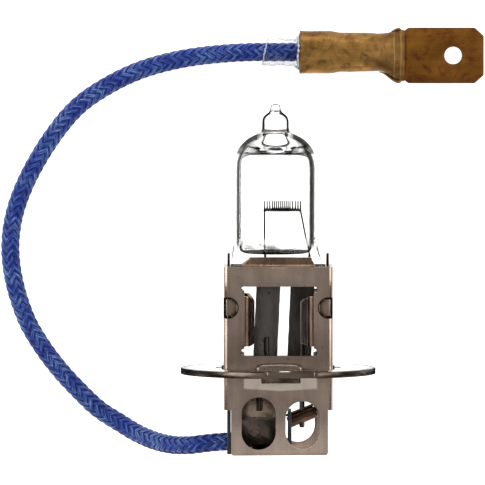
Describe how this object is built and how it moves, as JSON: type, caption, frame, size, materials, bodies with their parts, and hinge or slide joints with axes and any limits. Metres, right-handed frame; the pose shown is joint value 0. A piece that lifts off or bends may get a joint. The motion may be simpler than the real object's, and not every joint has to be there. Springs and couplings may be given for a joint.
{
  "type": "headlight bulb",
  "caption": "Single-filament halogen headlight bulb with a round locating flange, sheet-metal base and short braided lead ending in a flat tab.",
  "frame": {"origin": "centre of the locating flange's glass-side face, the bulb's reference plane", "axes": "+Y along the bulb's axis towards the glass tip, +Z out of the front plate, +X to the right when the front plate is seen with the glass up"},
  "size_m": [0.0551, 0.0483, 0.0219],
  "materials": {
    "quartz_glass": "clear",
    "tungsten": "drawn wire",
    "molybdenum": "dull",
    "nickel_steel": "satin nickel",
    "spring_steel": "satin",
    "flange_steel": "satin nickel",
    "black_insulator": "matte",
    "terminal_steel": "dull",
    "copper": "stranded",
    "blue_braid": "woven",
    "clear_plastic": "clear film",
    "tab_brass": "tarnished"
  },
  "bodies": {
    "root": {"glass_envelope": "quartz_glass", "filament": "tungsten", "filament_leg_left": "tungsten", "filament_leg_right": "tungsten", "foil_left": "molybdenum", "foil_right": "molybdenum", "lead_wire_left": "molybdenum", "lead_wire_right": "molybdenum", "front_shell": "nickel_steel", "rear_shell": "nickel_steel", "pinch_clip_left": "spring_steel", "pinch_clip_right": "spring_steel", "flange_ring": "flange_steel", "insulator_liner": "black_insulator", "live_terminal": "terminal_steel", "ground_strip": "terminal_steel", "conductor_end_base": "copper", "conductor_end_tab": "copper", "cable": "blue_braid", "clear_sleeve": "clear_plastic", "tab_terminal": "tab_brass"}
  },
  "joints": []
}
